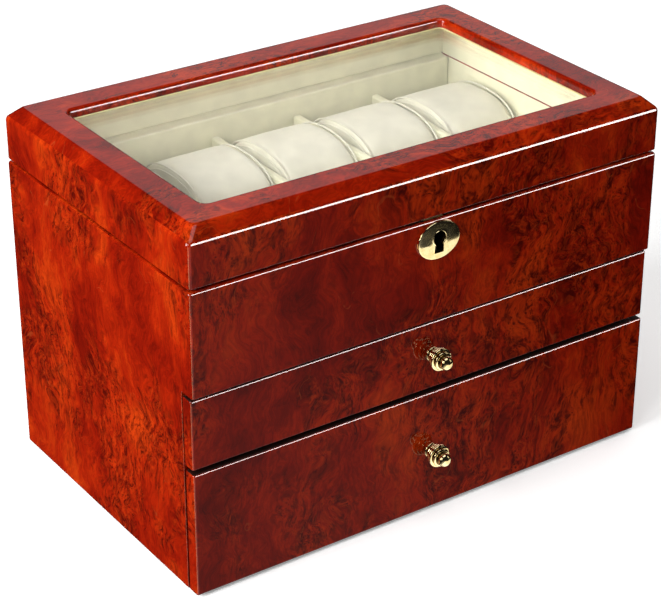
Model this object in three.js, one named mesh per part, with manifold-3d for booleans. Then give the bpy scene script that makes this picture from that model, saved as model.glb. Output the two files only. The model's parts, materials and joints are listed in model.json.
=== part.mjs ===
// Watch box: a veneered case with two drawers and a glazed lid over ten watch pillows.
// Millimetres, +Z up. The origin is the centre of the underside, and the front faces -Y.
import * as THREE from "three";
import { mergeVertices } from "three/addons/utils/BufferGeometryUtils.js";
import Module from "manifold-3d";

const wasm = await Module();
wasm.setup();

// Overall size
const WIDTH = 330;
const DEPTH = 211;
const HEIGHT = 233.4;
const GAP = 0.3; // between pieces that meet

// Case
const FELT = 1;
const WALL = 8.5;
const CASE_BOTTOM = 1.2;
const CASE_TOP = 197.6;
const BOTTOM_BOARD = 5;
const SHELF_BOTTOM = 82.8;
const SHELF_TOP = 86.8;
const FLOOR_BOTTOM = 132.4;
const FLOOR_TOP = 136.4;
const CARCASS_SETBACK = 12.1; // side panels stop this far behind the front, below the front panel
const LINING = 2.2;
const LINING_SEAM = 198.2; // top of the case lining; the lid lining starts a gap above it
const LEDGE = 9.4;

// Watch compartment
const COLUMNS = 5;
const CELL_PITCH = 61.6;
const DIVIDER = 5.6; // a board wrapped in padded lining
const DIVIDER_TOP = 185.5;
const PILLOW = { width: 53.6, length: 80, top: 195, power: 2.4, points: 22, edge: 3 };

// Lid
const LID_BOTTOM = 199.2;
const LID_BEVEL = { inset: 7.5, drop: 7.2 };
const LID_RAIL = { side: 26.5, front: 27, rear: 28.5 };
const RAIL_THICKNESS = 6.6;
const OPENING_RADIUS = 4.5;
const GLASS = 3;
const LID_REAR_LINING = 1;

// Hinges
const HINGE = {
  offset: 100, length: 36, knuckles: 3, barrel: 2.6, bore: 1.3, pin: 1,
  leaf: 1.6, depth: 6, standoff: 2.2, leafGap: 0.2,
};

// Lock
const ESCUTCHEON = { z: 184.4, halfWidth: 14.9, halfHeight: 12.1, thickness: 1.9, bevel: 0.7 };
const KEYHOLE = { headZ: 186, headRadius: 4.2, neck: 2.5, foot: 3, footZ: 176.8, clearance: 0.5 };
const LOCK = { width: 40, depth: 6.2, bottom: 170, top: 196.4, wall: 1.1, room: 8, roomBottom: 174 };
const BOLT = { halfWidth: 7, thickness: 2, bottom: 190.2, top: 196, pocketTop: 203.8, play: 1.1 };
const STRIKE = { width: 34, frontEdge: 2.1, rearEdge: 0.6, thickness: 1.2 };

// Drawers
const FRONT_THICKNESS = 9;
const SLIDE_GAP = 0.4;
const DRAWER = { side: 6, clearance: 1, rearClearance: 3, bottom: 3, lift: 1.5, pad: 2, padInset: 0.5 };
const UPPER = { bottom: 85.3, top: 130.2, recess: 2.5, boxBottom: SHELF_TOP, boxTop: 128, knobZ: 108.6 };
const LOWER = {
  bottom: 1.7, top: 83, recess: 1.8, boxBottom: CASE_BOTTOM + BOTTOM_BOARD, boxTop: 79, knobZ: 42.8,
};
const STUD = { radius: 1.7, length: 6, hole: 2 };

// Derived places
const X1 = WIDTH / 2;
const Y0 = -DEPTH / 2;
const Y1 = DEPTH / 2;
const INNER_X = X1 - WALL;
const INNER_Y0 = Y0 + WALL;
const INNER_Y1 = Y1 - WALL;
const LINED_X = INNER_X - GAP - LINING;
const LINED_Y0 = INNER_Y0 + GAP + LINING;
const LINED_Y1 = INNER_Y1 - GAP - LEDGE;
const CARCASS_FRONT = Y0 + CARCASS_SETBACK;
const GLASS_TOP = HEIGHT - RAIL_THICKNESS - GAP;
const GLASS_BOTTOM = GLASS_TOP - GLASS;
const HINGE_AXIS = { y: Y1 + HINGE.standoff, z: (CASE_TOP + LID_BOTTOM) / 2 };
const ROW_CENTRE = (LINED_Y0 + LINED_Y1) / 2;

const FINISH = {
  burl: { color: 0x9c3a1c, roughness: 0.12, metalness: 0 },
  cream: { color: 0xe6e1ca, roughness: 0.65, metalness: 0 },
  pillow: { color: 0xece7d3, roughness: 0.5, metalness: 0 },
  drawerWood: { color: 0xb98a5a, roughness: 0.6, metalness: 0 },
  glass: { color: 0xdfe8e6, roughness: 0.03, metalness: 0 },
  brass: { color: 0xd9b56a, roughness: 0.2, metalness: 1 },
  felt: { color: 0x2a2422, roughness: 0.95, metalness: 0 },
};

const group = new THREE.Group();

function addPiece(name, geometry, finish) {
  const mesh = new THREE.Mesh(geometry, new THREE.MeshStandardMaterial(FINISH[finish]));
  mesh.name = name;
  group.add(mesh);
  return mesh;
}

// Closed mesh to solid and back
function solid(geometry) {
  const bare = geometry.clone();
  bare.deleteAttribute("normal");
  bare.deleteAttribute("uv");
  const merged = mergeVertices(bare, 1e-4);
  return new wasm.Manifold(new wasm.Mesh({
    numProp: 3,
    vertProperties: new Float32Array(merged.attributes.position.array),
    triVerts: new Uint32Array(merged.index.array),
  }));
}

function geometryOf(manifold) {
  const mesh = manifold.getMesh();
  const geometry = new THREE.BufferGeometry();
  geometry.setAttribute("position", new THREE.BufferAttribute(mesh.vertProperties, 3));
  geometry.setIndex(new THREE.BufferAttribute(mesh.triVerts, 1));
  const flat = geometry.toNonIndexed();
  flat.computeVertexNormals();
  return flat;
}

function board(x0, x1, y0, y1, z0, z1) {
  const geometry = new THREE.BoxGeometry(x1 - x0, y1 - y0, z1 - z0);
  return geometry.translate((x0 + x1) / 2, (y0 + y1) / 2, (z0 + z1) / 2);
}

function block(...limits) {
  return solid(board(...limits));
}

// A shape drawn in plan, standing between two heights
function planPrism(shape, z0, z1) {
  return new THREE.ExtrudeGeometry(shape, { depth: z1 - z0, bevelEnabled: false }).translate(0, 0, z0);
}

function planPolygon(points, z0, z1) {
  return planPrism(new THREE.Shape(points.map(([x, y]) => new THREE.Vector2(x, y))), z0, z1);
}

// A shape drawn as (y, z), running along X
function alongX(shape, x0, x1, options = {}) {
  const geometry = new THREE.ExtrudeGeometry(shape, { depth: x1 - x0, bevelEnabled: false, ...options });
  geometry.rotateY(Math.PI / 2);
  geometry.rotateX(Math.PI / 2);
  return geometry.translate(x0, 0, 0);
}

// A shape drawn as (x, z), running along Y
function alongY(shape, y0, y1, options = {}) {
  const geometry = new THREE.ExtrudeGeometry(shape, { depth: y1 - y0, bevelEnabled: false, ...options });
  geometry.rotateX(Math.PI / 2);
  return geometry.translate(0, y1, 0);
}

function roundedRectangle(x0, x1, y0, y1, radius) {
  const shape = new THREE.Shape();
  shape.moveTo(x0 + radius, y0);
  shape.lineTo(x1 - radius, y0);
  shape.absarc(x1 - radius, y0 + radius, radius, -Math.PI / 2, 0);
  shape.lineTo(x1, y1 - radius);
  shape.absarc(x1 - radius, y1 - radius, radius, 0, Math.PI / 2);
  shape.lineTo(x0 + radius, y1);
  shape.absarc(x0 + radius, y1 - radius, radius, Math.PI / 2, Math.PI);
  shape.lineTo(x0, y0 + radius);
  shape.absarc(x0 + radius, y0 + radius, radius, Math.PI, 1.5 * Math.PI);
  return shape;
}

// Keyhole outline: a round head over a flared slot, grown all round by a margin
function keyholeOutline(path, margin) {
  const { headZ, headRadius, neck, foot, footZ } = KEYHOLE;
  const radius = headRadius + margin;
  const lean = Math.asin((neck + margin) / radius);
  path.moveTo(-foot - margin, footZ - margin);
  path.lineTo(foot + margin, footZ - margin);
  path.absarc(0, headZ, radius, -Math.PI / 2 + lean, 1.5 * Math.PI - lean);
  path.lineTo(-foot - margin, footZ - margin);
  return path;
}

// Hinge places, mirrored left and right
const HINGE_SIDES = [["left", -HINGE.offset], ["right", HINGE.offset]];

// Room for the hinges in the back panel or the back rail
function hingeMortises(z0, z1) {
  return HINGE_SIDES.map(([, x]) => {
    const half = HINGE.length / 2 + GAP;
    return block(x - half, x + half, Y1 - HINGE.depth - GAP, Y1 + 1, z0, z1);
  });
}

function cut(piece, tools) {
  return tools.reduce((left, tool) => left.subtract(tool), piece);
}

// Case carcass
function sidePanel(side) {
  const plan = [[X1, Y0], [X1, Y1], [INNER_X, INNER_Y1], [INNER_X, INNER_Y0]];
  const outline = side < 0 ? plan.map(([x, y]) => [-x, y]).reverse() : plan;
  const full = solid(planPolygon(outline, CASE_BOTTOM, CASE_TOP));
  const drawerFronts = block(-X1 - 1, X1 + 1, Y0 - 1, CARCASS_FRONT, 0, FLOOR_BOTTOM);
  return geometryOf(full.subtract(drawerFronts));
}

function upperFrontPanel() {
  const outline = [[-X1 + GAP, Y0], [X1 - GAP, Y0], [INNER_X - GAP, INNER_Y0], [-INNER_X + GAP, INNER_Y0]];
  const panel = solid(planPolygon(outline, FLOOR_BOTTOM, CASE_TOP));
  const half = LOCK.width / 2 + GAP;
  const lockBay = block(-half, half, INNER_Y0 - LOCK.depth - GAP, INNER_Y0 + 1, LOCK.bottom - GAP, CASE_TOP + 1);
  const keyhole = solid(alongY(keyholeOutline(new THREE.Shape(), KEYHOLE.clearance), Y0 - 1, INNER_Y0));
  return geometryOf(cut(panel, [lockBay, keyhole]));
}

function backPanel() {
  const outline = [[-X1 + GAP, Y1], [-INNER_X + GAP, INNER_Y1], [INNER_X - GAP, INNER_Y1], [X1 - GAP, Y1]];
  const panel = solid(planPolygon(outline, CASE_BOTTOM, CASE_TOP));
  const leafBottom = HINGE_AXIS.z - HINGE.leafGap - HINGE.leaf;
  return geometryOf(cut(panel, hingeMortises(leafBottom - 1, CASE_TOP + 1)));
}

addPiece("side_panel_left", sidePanel(-1), "burl");
addPiece("side_panel_right", sidePanel(1), "burl");
addPiece("back_panel", backPanel(), "burl");
addPiece("upper_front_panel", upperFrontPanel(), "burl");

const boardX = INNER_X - GAP;
const boardBack = INNER_Y1 - GAP;
const bottomTop = CASE_BOTTOM + BOTTOM_BOARD;
addPiece("bottom_panel", board(-boardX, boardX, CARCASS_FRONT, boardBack, CASE_BOTTOM, bottomTop), "drawerWood");
addPiece("drawer_shelf", board(-boardX, boardX, CARCASS_FRONT, boardBack, SHELF_BOTTOM, SHELF_TOP), "burl");
const floorFront = INNER_Y0 + GAP;
addPiece("compartment_floor", board(-boardX, boardX, floorFront, boardBack, FLOOR_BOTTOM, FLOOR_TOP), "cream");
addPiece("base_felt", board(-X1 + 2, X1 - 2, CARCASS_FRONT + 1, Y1 - 2, 0, FELT), "felt");

// Lining of the watch compartment
const liningBottom = FLOOR_TOP + GAP;
const liningTop = LINING_SEAM;
const liningFront = INNER_Y0 + GAP;
const liningSide = INNER_X - GAP;
addPiece("lining_front",
  board(-liningSide, liningSide, liningFront, LINED_Y0, liningBottom, liningTop), "cream");
for (const [name, side] of [["left", -1], ["right", 1]]) {
  const [x0, x1] = [side * liningSide, side * LINED_X].sort((a, b) => a - b);
  addPiece(`lining_${name}`,
    board(x0, x1, LINED_Y0 + GAP, INNER_Y1 - GAP, liningBottom, liningTop), "cream");
}
const ledgeX = LINED_X - GAP;
addPiece("rear_ledge", board(-ledgeX, ledgeX, LINED_Y1, INNER_Y1 - GAP, liningBottom, liningTop), "cream");

// Dividers, halved into each other: the long one is slotted from the top, the cross ones from below
const columnEdges = Array.from({ length: COLUMNS - 1 }, (_, i) => (i + 1 - COLUMNS / 2) * CELL_PITCH);
const halving = (liningBottom + DIVIDER_TOP) / 2;
const slotHalf = DIVIDER / 2 + GAP;

function rowDivider() {
  const plank = block(-ledgeX, ledgeX, ROW_CENTRE - DIVIDER / 2, ROW_CENTRE + DIVIDER / 2,
    liningBottom, DIVIDER_TOP);
  const slots = columnEdges.map((x) => block(x - slotHalf, x + slotHalf,
    ROW_CENTRE - DIVIDER, ROW_CENTRE + DIVIDER, halving, DIVIDER_TOP + 1));
  return geometryOf(cut(plank, slots));
}

function columnDivider(x) {
  const plank = block(x - DIVIDER / 2, x + DIVIDER / 2, LINED_Y0 + GAP, LINED_Y1 - GAP,
    liningBottom, DIVIDER_TOP);
  const slot = block(x - DIVIDER, x + DIVIDER, ROW_CENTRE - slotHalf, ROW_CENTRE + slotHalf,
    liningBottom - 1, halving + GAP);
  return geometryOf(plank.subtract(slot));
}

addPiece("row_divider", rowDivider(), "cream");
columnEdges.forEach((x, i) => addPiece(`column_divider_${i + 1}`, columnDivider(x), "cream"));

// Watch pillows: soft rolls with their axis along X
const pillowBottom = FLOOR_TOP + GAP;
const pillowMiddle = (pillowBottom + PILLOW.top) / 2;

function pillowSection() {
  const halfLength = PILLOW.length / 2 - PILLOW.edge;
  const halfHeight = (PILLOW.top - pillowBottom) / 2 - PILLOW.edge;
  const points = Array.from({ length: PILLOW.points }, (_, i) => {
    const angle = (i / PILLOW.points) * 2 * Math.PI;
    const bulge = (value) => Math.sign(value) * Math.abs(value) ** (2 / PILLOW.power);
    return new THREE.Vector2(halfLength * bulge(Math.cos(angle)), halfHeight * bulge(Math.sin(angle)));
  });
  return new THREE.Shape(points);
}

function pillowGeometry() {
  const half = PILLOW.width / 2 - PILLOW.edge;
  return alongX(pillowSection(), -half, half, {
    bevelEnabled: true, bevelSize: PILLOW.edge, bevelThickness: PILLOW.edge, bevelSegments: 1,
  });
}

const cellCentres = Array.from({ length: COLUMNS }, (_, i) => (i - (COLUMNS - 1) / 2) * CELL_PITCH);
const rows = [
  ["front", (LINED_Y0 + ROW_CENTRE - DIVIDER / 2) / 2],
  ["rear", (ROW_CENTRE + DIVIDER / 2 + LINED_Y1) / 2],
];
for (const [row, y] of rows) {
  cellCentres.forEach((x, i) => {
    const pillow = addPiece(`watch_pillow_${row}_${i + 1}`, pillowGeometry(), "pillow");
    pillow.position.set(x, y, pillowMiddle);
  });
}

// Lock: escutcheon on the front, lock case let into the panel behind it, bolt sliding up
function escutcheonGeometry() {
  const { halfWidth, halfHeight, thickness, bevel, z } = ESCUTCHEON;
  const shape = new THREE.Shape();
  shape.absellipse(0, z, halfWidth - bevel, halfHeight - bevel, 0, 2 * Math.PI);
  const plate = alongY(shape, Y0 - GAP - thickness + bevel, Y0 - GAP - bevel, {
    bevelEnabled: true, bevelSize: bevel, bevelThickness: bevel, bevelSegments: 2, curveSegments: 16,
  });
  const keyhole = alongY(keyholeOutline(new THREE.Shape(), 0), Y0 - 5, Y0 + 1);
  return geometryOf(solid(plate).subtract(solid(keyhole)));
}

function lockCase() {
  const half = LOCK.width / 2;
  const front = INNER_Y0 - LOCK.depth;
  const body = block(-half, half, front, INNER_Y0, LOCK.bottom, LOCK.top);
  const room = block(-LOCK.room, LOCK.room, front + LOCK.wall, INNER_Y0 - LOCK.wall, LOCK.roomBottom, CASE_TOP);
  const keyhole = solid(alongY(keyholeOutline(new THREE.Shape(), 0), front - 1, front + LOCK.wall + 0.5));
  return geometryOf(cut(body, [room, keyhole]));
}

const lockMiddle = INNER_Y0 - LOCK.depth / 2;
addPiece("keyhole_escutcheon", escutcheonGeometry(), "brass");
addPiece("lock_case", lockCase(), "brass");
addPiece("lock_bolt", board(-BOLT.halfWidth, BOLT.halfWidth, lockMiddle - BOLT.thickness / 2,
  lockMiddle + BOLT.thickness / 2, BOLT.bottom, BOLT.top), "brass");

// Hinges: butt hinges let into the seam between the back panel and the back rail
function circle(radius, y, z) {
  const shape = new THREE.Shape();
  shape.absarc(y, z, radius, 0, 2 * Math.PI);
  return shape;
}

function hingeCylinder(radius, x0, x1) {
  return solid(alongX(circle(radius, HINGE_AXIS.y, HINGE_AXIS.z), x0, x1, { curveSegments: 10 }));
}

// up is +1 for the lid leaf and -1 for the case leaf; ownKnuckles are the ones that this leaf carries
function hingeLeaf(x, up, ownKnuckles) {
  const half = HINGE.length / 2;
  const step = HINGE.length / HINGE.knuckles;
  const near = HINGE_AXIS.z + up * HINGE.leafGap;
  const far = near + up * HINGE.leaf;
  const [z0, z1] = [near, far].sort((a, b) => a - b);
  let leaf = block(x - half, x + half, Y1 - HINGE.depth, HINGE_AXIS.y, z0, z1);
  for (let i = 0; i < HINGE.knuckles; i += 1) {
    const x0 = x - half + i * step;
    const x1 = x0 + step;
    if (ownKnuckles.includes(i)) {
      const trim = (edge, sign) => (Math.abs(edge - x) > half - 0.01 ? edge : edge + sign * GAP / 2);
      leaf = leaf.add(hingeCylinder(HINGE.barrel, trim(x0, 1), trim(x1, -1)));
    } else {
      leaf = leaf.subtract(hingeCylinder(HINGE.barrel + GAP, x0 - GAP / 2, x1 + GAP / 2));
    }
  }
  return geometryOf(leaf.subtract(hingeCylinder(HINGE.bore, x - half - 1, x + half + 1)));
}

for (const [side, x] of HINGE_SIDES) {
  const half = HINGE.length / 2;
  addPiece(`case_hinge_leaf_${side}`, hingeLeaf(x, -1, [0, 2]), "brass");
  addPiece(`lid_hinge_leaf_${side}`, hingeLeaf(x, 1, [1]), "brass");
  addPiece(`hinge_pin_${side}`, geometryOf(hingeCylinder(HINGE.pin, x - half, x + half)), "brass");
}

// Lid frame: a bevelled shell with a glazed opening, divided into four mitred rails
function lidShell() {
  const { inset, drop } = LID_BEVEL;
  const profile = (half) => new THREE.Shape([
    [-half, LID_BOTTOM], [half, LID_BOTTOM], [half, HEIGHT - drop], [half - inset, HEIGHT],
    [-half + inset, HEIGHT], [-half, HEIGHT - drop],
  ].map(([u, z]) => new THREE.Vector2(u, z)));
  const across = solid(alongY(profile(X1), Y0, Y1));
  const along = solid(alongX(profile(Y1), -X1, X1));
  const hollow = block(-INNER_X, INNER_X, INNER_Y0, INNER_Y1, LID_BOTTOM - 1, HEIGHT - RAIL_THICKNESS);
  const opening = solid(planPrism(roundedRectangle(-X1 + LID_RAIL.side, X1 - LID_RAIL.side,
    Y0 + LID_RAIL.front, Y1 - LID_RAIL.rear, OPENING_RADIUS), HEIGHT - RAIL_THICKNESS - 1, HEIGHT + 1));
  return cut(across.intersect(along), [hollow, opening]);
}

// One rail is the shell inside a plan outline that runs from the outer corners to the opening's corners
function rail(shell, outline) {
  return shell.intersect(solid(planPolygon(outline, LID_BOTTOM - 1, HEIGHT + 1)));
}

const shell = lidShell();
const holeX = X1 - LID_RAIL.side;
const holeY0 = Y0 + LID_RAIL.front;
const holeY1 = Y1 - LID_RAIL.rear;
const frontRail = rail(shell, [[-X1 + GAP, Y0], [X1 - GAP, Y0], [holeX - GAP, holeY0], [-holeX + GAP, holeY0]]);
const backRail = rail(shell, [[-X1 + GAP, Y1], [-holeX + GAP, holeY1], [holeX - GAP, holeY1], [X1 - GAP, Y1]]);
const sideRailOutline = [[X1, Y0], [X1, Y1], [holeX, holeY1], [holeX, holeY0]];
const mirrored = sideRailOutline.map(([x, y]) => [-x, y]).reverse();

const strikeHalf = STRIKE.width / 2;
const strikeY0 = Y0 + STRIKE.frontEdge;
const strikeY1 = INNER_Y0 - STRIKE.rearEdge;
const strikeTop = LID_BOTTOM + STRIKE.thickness;
const pocketX = BOLT.halfWidth + BOLT.play;
const pocketY = BOLT.thickness / 2 + BOLT.play;
const boltPocket = block(-pocketX, pocketX, lockMiddle - pocketY, lockMiddle + pocketY,
  LID_BOTTOM - 1, BOLT.pocketTop);
const strikeBed = block(-strikeHalf - GAP, strikeHalf + GAP, strikeY0 - GAP, strikeY1 + GAP,
  LID_BOTTOM - 1, strikeTop + GAP);
const strikePlate = block(-strikeHalf, strikeHalf, strikeY0, strikeY1, LID_BOTTOM, strikeTop);
const leafTop = HINGE_AXIS.z + HINGE.leafGap + HINGE.leaf;

addPiece("lid_front_rail",
  geometryOf(cut(frontRail, [strikeBed, boltPocket])), "burl");
addPiece("lid_back_rail", geometryOf(cut(backRail, hingeMortises(LID_BOTTOM - 1, leafTop + GAP))), "burl");
addPiece("lid_left_rail", geometryOf(rail(shell, mirrored)), "burl");
addPiece("lid_right_rail", geometryOf(rail(shell, sideRailOutline)), "burl");
addPiece("strike_plate", geometryOf(strikePlate.subtract(boltPocket)), "brass");
addPiece("lid_glass", board(-INNER_X + GAP, INNER_X - GAP, INNER_Y0 + GAP, INNER_Y1 - GAP,
  GLASS_BOTTOM, GLASS_TOP), "glass");

// Lining boards inside the lid hold the glass up against the rails
const lidLiningBottom = LINING_SEAM + GAP;
const lidLiningTop = GLASS_BOTTOM - GAP;
addPiece("lid_lining_front", board(-liningSide, liningSide, INNER_Y0 + GAP, LINED_Y0,
  lidLiningBottom, lidLiningTop), "cream");
addPiece("lid_lining_back", board(-liningSide, liningSide, INNER_Y1 - GAP - LID_REAR_LINING, INNER_Y1 - GAP,
  lidLiningBottom, lidLiningTop), "cream");
for (const [name, side] of [["left", -1], ["right", 1]]) {
  const [x0, x1] = [side * liningSide, side * LINED_X].sort((a, b) => a - b);
  addPiece(`lid_lining_${name}`, board(x0, x1, LINED_Y0 + GAP, INNER_Y1 - 2 * GAP - LID_REAR_LINING,
    lidLiningBottom, lidLiningTop), "cream");
}

// Turned knob: (radius, height over the drawer front), from the stud's end to the tip
function knobGeometry() {
  const turned = [
    [0, -STUD.length], [STUD.radius, -STUD.length], [STUD.radius, GAP], [4.7, GAP], [4.7, 1.1], [3.9, 1.8],
    [2.7, 2.3], [2.5, 4.8], [3.4, 5.4], [4.5, 5.8], [4.5, 6.5], [5.5, 6.9], [5.5, 7.6], [7, 8.2], [7, 9.7],
    [6.2, 10.3], [4.6, 10.7], [3.2, 11.3], [3.1, 12.2], [3.7, 13.2], [3.8, 14.6], [3.2, 16], [1.8, 16.8],
    [0, 17],
  ];
  const profile = turned.map(([radius, height]) => new THREE.Vector2(radius, height));
  return new THREE.LatheGeometry(profile, 20).rotateX(Math.PI);
}

// A drawer: an overlaid front, a box behind it, a lining pad and a knob
function addDrawer(prefix, size) {
  const frontY0 = Y0 + size.recess;
  const frontY1 = frontY0 + FRONT_THICKNESS;
  const boxY0 = frontY1 + GAP;
  const boxY1 = INNER_Y1 - DRAWER.rearClearance;
  const outerX = INNER_X - DRAWER.clearance;
  const innerX = outerX - DRAWER.side;
  const z0 = size.boxBottom + SLIDE_GAP;
  const studHole = new THREE.Shape();
  studHole.absarc(0, size.knobZ, STUD.hole, 0, 2 * Math.PI);
  const hole = solid(alongY(studHole, frontY0 - 1, frontY0 + STUD.length + GAP, { curveSegments: 10 }));
  const front = block(-X1, X1, frontY0, frontY1, size.bottom, size.top).subtract(hole);
  addPiece(`${prefix}_front`, geometryOf(front), "burl");
  addPiece(`${prefix}_side_left`, board(-outerX, -innerX, boxY0, boxY1, z0, size.boxTop), "drawerWood");
  addPiece(`${prefix}_side_right`, board(innerX, outerX, boxY0, boxY1, z0, size.boxTop), "drawerWood");
  const fill = innerX - GAP;
  const backY0 = boxY1 - DRAWER.side;
  addPiece(`${prefix}_back`, board(-fill, fill, backY0, boxY1, z0, size.boxTop), "drawerWood");
  const bottomZ = z0 + DRAWER.lift;
  const bottomTopZ = bottomZ + DRAWER.bottom;
  addPiece(`${prefix}_bottom`, board(-fill, fill, boxY0, backY0 - GAP, bottomZ, bottomTopZ), "drawerWood");
  const padX = fill - DRAWER.padInset;
  const padZ = bottomTopZ + GAP;
  addPiece(`${prefix}_pad`, board(-padX, padX, boxY0 + DRAWER.padInset, backY0 - GAP - DRAWER.padInset,
    padZ, padZ + DRAWER.pad), "cream");
  const knob = addPiece(`${prefix}_knob`, knobGeometry(), "brass");
  knob.position.set(0, frontY0, size.knobZ);
}

addDrawer("upper_drawer", UPPER);
addDrawer("lower_drawer", LOWER);

export default group;
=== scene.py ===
"""Watch box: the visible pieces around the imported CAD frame. Metres, +Z up, the front faces -Y."""

import json
import math

import bmesh
import bpy
from mathutils import Matrix, Vector, noise


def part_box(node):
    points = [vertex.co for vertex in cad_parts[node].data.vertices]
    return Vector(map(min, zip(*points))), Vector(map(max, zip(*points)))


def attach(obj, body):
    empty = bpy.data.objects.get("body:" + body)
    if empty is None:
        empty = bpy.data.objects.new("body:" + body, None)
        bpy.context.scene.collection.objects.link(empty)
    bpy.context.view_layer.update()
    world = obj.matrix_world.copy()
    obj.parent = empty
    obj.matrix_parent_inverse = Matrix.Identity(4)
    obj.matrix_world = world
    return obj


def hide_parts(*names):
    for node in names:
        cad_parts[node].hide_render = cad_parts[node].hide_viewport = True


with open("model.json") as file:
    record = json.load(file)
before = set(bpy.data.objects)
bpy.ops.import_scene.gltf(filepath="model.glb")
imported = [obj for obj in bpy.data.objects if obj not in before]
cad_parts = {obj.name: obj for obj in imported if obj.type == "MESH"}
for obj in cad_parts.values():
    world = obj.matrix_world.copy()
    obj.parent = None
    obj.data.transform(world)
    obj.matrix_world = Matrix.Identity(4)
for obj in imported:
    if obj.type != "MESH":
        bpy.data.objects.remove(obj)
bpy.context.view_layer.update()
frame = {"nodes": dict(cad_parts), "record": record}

MM = 0.001
TURN = 2 * math.pi
GAP = 0.3 * MM

# ---------------------------------------------------------------- places, from the frame

side_lo, side_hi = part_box("side_panel_left")
X1 = -side_lo.x
Y0, Y1 = side_lo.y, side_hi.y
INNER_X = -side_hi.x
CASE_BOTTOM, CASE_TOP = side_lo.z, side_hi.z
FRONT_PANEL_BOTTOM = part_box("upper_front_panel")[0].z
INNER_Y0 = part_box("upper_front_panel")[1].y
INNER_Y1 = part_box("back_panel")[0].y
CARCASS_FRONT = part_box("drawer_shelf")[0].y
LID_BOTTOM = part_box("lid_left_rail")[0].z
LID_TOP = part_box("lid_left_rail")[1].z
OPENING_X = -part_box("lid_left_rail")[1].x
OPENING_Y0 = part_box("lid_front_rail")[1].y
OPENING_Y1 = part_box("lid_back_rail")[0].y
GLASS_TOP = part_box("lid_glass")[1].z
RAIL_UNDER = GLASS_TOP + GAP
lid_joint = next(joint for joint in frame["record"]["behaviour"]["joints"] if joint["name"] == "lid_hinge")
HINGE_AXIS = Vector(lid_joint["pos_m"])


# ---------------------------------------------------------------- mesh helpers

def new_object(name, mesh):
    obj = bpy.data.objects.new(name, mesh)
    bpy.context.collection.objects.link(obj)
    return obj


def from_data(name, verts, faces):
    mesh = bpy.data.meshes.new(name)
    mesh.from_pydata([tuple(v) for v in verts], [], faces)
    mesh.validate()
    return new_object(name, mesh)


def from_bmesh(name, bm):
    mesh = bpy.data.meshes.new(name)
    bm.to_mesh(mesh)
    bm.free()
    return new_object(name, mesh)


def bake_modifiers(obj):
    """Applies every modifier on the object."""
    depsgraph = bpy.context.evaluated_depsgraph_get()
    mesh = bpy.data.meshes.new_from_object(obj.evaluated_get(depsgraph))
    obj.modifiers.clear()
    old = obj.data
    obj.data = mesh
    bpy.data.meshes.remove(old)
    return obj


def soften(obj, angle=35):
    """Smooth shading with sharp edges above the angle; flats stay flat by weighted normals."""
    obj.data.polygons.foreach_set("use_smooth", [True] * len(obj.data.polygons))
    obj.data.set_sharp_from_angle(angle=math.radians(angle))
    weighted = obj.modifiers.new("weighted", "WEIGHTED_NORMAL")
    weighted.keep_sharp = True
    weighted.weight = 80
    return obj


def bevel_edges(obj, width, segments=3, angle=50):
    bevel = obj.modifiers.new("bevel", "BEVEL")
    bevel.width = width
    bevel.segments = segments
    bevel.limit_method = "ANGLE"
    bevel.angle_limit = math.radians(angle)
    bevel.miter_outer = "MITER_ARC"
    return obj


def block(name, lo, hi, radius=0.0, segments=4):
    """A board between two corners, with every edge rounded."""
    bm = bmesh.new()
    bmesh.ops.create_cube(bm, size=1)
    size = Vector(hi) - Vector(lo)
    middle = (Vector(hi) + Vector(lo)) / 2
    for vert in bm.verts:
        vert.co = Vector(c * s for c, s in zip(vert.co, size)) + middle
    if radius:
        bmesh.ops.bevel(bm, geom=list(bm.edges), offset=radius, segments=segments, profile=0.5,
                        affect="EDGES", clamp_overlap=True)
    return from_bmesh(name, bm)


def carve(obj, cutter):
    """Cuts one closed mesh out of another."""
    modifier = obj.modifiers.new("boolean", "BOOLEAN")
    modifier.operation = "DIFFERENCE"
    modifier.solver = "EXACT"
    modifier.object = cutter
    bake_modifiers(obj)
    bpy.data.objects.remove(cutter)
    return obj


def ring(x0, x1, y0, y1, radius, z, steps=6):
    """A rounded rectangle at one height, as points turning from +X to +Y."""
    corners = [(x1, y1, 0), (x0, y1, 1), (x0, y0, 2), (x1, y0, 3)]
    points = []
    for x, y, quarter in corners:
        cx = x - radius if x == x1 else x + radius
        cy = y - radius if y == y1 else y + radius
        for i in range(steps + 1):
            angle = (quarter + i / steps) * math.pi / 2
            points.append(Vector((cx + radius * math.cos(angle), cy + radius * math.sin(angle), z)))
    return points


def loft(name, rings, closed=False):
    """Skins a list of equal rings. closed joins the last to the first; an open skin gets end caps."""
    count = len(rings[0])
    verts = [p for r in rings for p in r]
    faces = []
    spans = len(rings) if closed else len(rings) - 1
    for k in range(spans):
        a, b = k * count, ((k + 1) % len(rings)) * count
        for i in range(count):
            j = (i + 1) % count
            faces.append((a + i, a + j, b + j, b + i))
    if not closed:
        faces.append(tuple(reversed(range(count))))
        faces.append(tuple(range((len(rings) - 1) * count, len(rings) * count)))
    return outward(from_data(name, verts, faces))


def outward(obj):
    bm = bmesh.new()
    bm.from_mesh(obj.data)
    bmesh.ops.remove_doubles(bm, verts=bm.verts, dist=1e-7)
    bmesh.ops.recalc_face_normals(bm, faces=bm.faces)
    bm.to_mesh(obj.data)
    bm.free()
    return obj


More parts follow.
